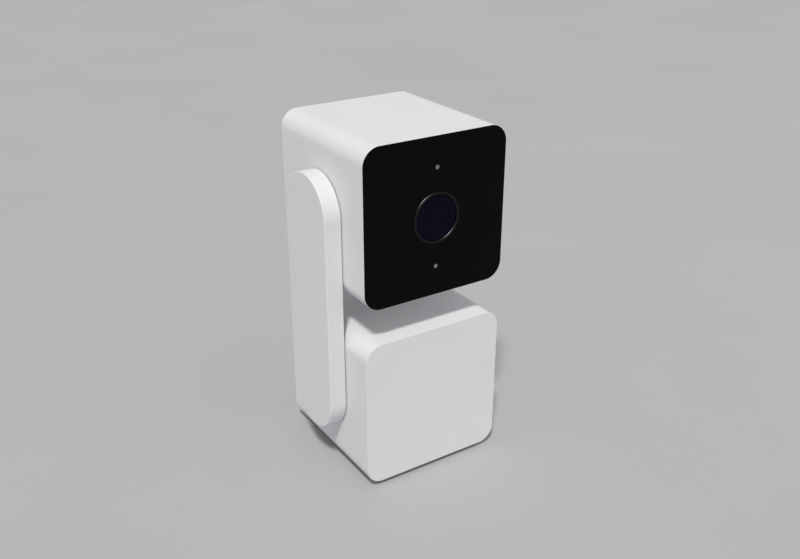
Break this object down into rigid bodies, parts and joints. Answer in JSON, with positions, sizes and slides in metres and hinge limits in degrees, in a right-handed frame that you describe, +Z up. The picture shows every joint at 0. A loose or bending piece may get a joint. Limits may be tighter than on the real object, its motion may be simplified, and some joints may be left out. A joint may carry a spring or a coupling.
{
  "type": "pan-tilt camera",
  "caption": "Pan-tilt camera: rounded-square lower housing on a turning foot, a pill-shaped side arm, and a tilting camera head with a black face and ringed lens.",
  "frame": {"origin": "on the pan axis, at the level the foot stands on, which is the mouth of the tripod socket", "axes": "+Z up along the pan axis, -Y is the way the camera looks, -X is the arm's side"},
  "size_m": [0.0648, 0.0584, 0.1318],
  "materials": {
    "white_shell": "satin moulded plastic with a fine texture",
    "white_cover": "satin moulded plastic with a fine texture",
    "black_face": "gloss black, lets infrared through",
    "black_plastic": "matt black",
    "rubber": "matt silicone rubber",
    "flap_rubber": "matt white silicone rubber",
    "brass": "machined",
    "gear_plastic": "natural acetal",
    "inner_plastic": "grey moulded plastic",
    "steel": "zinc plated",
    "motor_can": "drawn steel can",
    "board_green": "solder mask",
    "chip_black": "moulded epoxy",
    "wire_sleeve": "sleeved wires",
    "aluminium": "satin",
    "antenna_foil": "flexible film",
    "ring_metal": "dark polished ring",
    "lens_cover": "coated navy glass",
    "lens_black": "anodised black",
    "clear_glass": "coated glass",
    "window_grey": "frosted grey",
    "lamp_clear": "clear epoxy dome",
    "button_white": "satin moulded plastic"
  },
  "bodies": {
    "base": {"foot_pad": "rubber", "base_plate": "white_cover", "tripod_insert": "brass", "pan_gear": "gear_plastic", "pan_retainer": "steel", "retainer_screws": "steel"},
    "pan_body": {"body_shell": "white_shell", "body_rear_cover": "white_cover", "rear_cover_seal": "rubber", "rear_cover_screws": "steel", "pan_carrier": "inner_plastic", "pan_bush": "gear_plastic", "pan_motor": "motor_can", "pan_motor_bracket": "steel", "inner_screws": "steel", "arm_cover": "white_shell", "arm_plate": "white_cover", "tilt_axle": "steel", "tilt_gear": "gear_plastic", "tilt_retainer": "steel", "main_board": "board_green", "board_chips": "chip_black", "usb_inlet": "steel", "button_switch": "chip_black", "speaker": "chip_black", "microphone": "chip_black", "arm_harness": "wire_sleeve"},
    "head": {"head_shell": "white_shell", "head_rear_cover": "white_cover", "head_rear_seal": "rubber", "head_screws": "steel", "face_plate": "black_face", "face_seal": "rubber", "lens_ring": "ring_metal", "lens_glass": "lens_cover", "light_sensor_window": "window_grey", "status_light_pipe": "window_grey", "lens_hood": "black_plastic", "lens_barrel": "lens_black", "lens_front_element": "clear_glass", "lens_holder": "black_plastic", "image_sensor": "chip_black", "sensor_board": "board_green", "led_board": "board_green", "infrared_leds": "lamp_clear", "head_board": "board_green", "head_chips": "chip_black", "heat_sink": "aluminium", "card_socket": "steel", "antenna": "antenna_foil", "tilt_bush": "gear_plastic", "tilt_motor": "motor_can", "tilt_motor_bracket": "steel", "head_harness": "wire_sleeve"},
    "pan_drive": {"pan_pinion": "gear_plastic"},
    "tilt_drive": {"tilt_pinion": "gear_plastic"},
    "button": {"setup_button": "button_white"},
    "card_flap": {"card_door": "flap_rubber"},
    "ir_filter": {"ir_filter_frame": "inner_plastic", "ir_filter_glass": "clear_glass"}
  },
  "joints": [
    {"name": "pan", "type": "hinge", "parent": "base", "child": "pan_body", "pos_m": [0, 0, 0.0065], "axis": [0, 0, 1], "range_deg": [-175, 175]},
    {"name": "tilt", "type": "hinge", "parent": "pan_body", "child": "head", "pos_m": [-0.0268, 0, 0.1028], "axis": [-1, 0, 0], "range_deg": [-90, 90]},
    {"name": "pan_pinion_spin", "type": "hinge", "parent": "pan_body", "child": "pan_drive", "pos_m": [0, -0.01508, 0.0108], "axis": [0, 0, 1], "range_deg": [-530, 530]},
    {"name": "tilt_pinion_spin", "type": "hinge", "parent": "head", "child": "tilt_drive", "pos_m": [-0.0229, 0.01508, 0.1028], "axis": [-1, 0, 0], "range_deg": [-275, 275]},
    {"name": "setup_button_press", "type": "slide", "parent": "pan_body", "child": "button", "axis": [0, -1, 0], "range_m": [0, 0.0005], "stiffness_N_per_m": 800, "springref_m": -0.001},
    {"name": "card_door_swing", "type": "hinge", "parent": "head", "child": "card_flap", "pos_m": [0.021, 0, 0.0743], "axis": [0, -1, 0], "range_deg": [0, 95]},
    {"name": "ir_filter_shift", "type": "slide", "parent": "head", "child": "ir_filter", "axis": [1, 0, 0], "range_m": [0, 0.0064]}
  ],
  "couplings": [
    {"joint": "pan_pinion_spin", "follows": "pan", "ratio": 3},
    {"joint": "tilt_pinion_spin", "follows": "tilt", "ratio": 3}
  ]
}
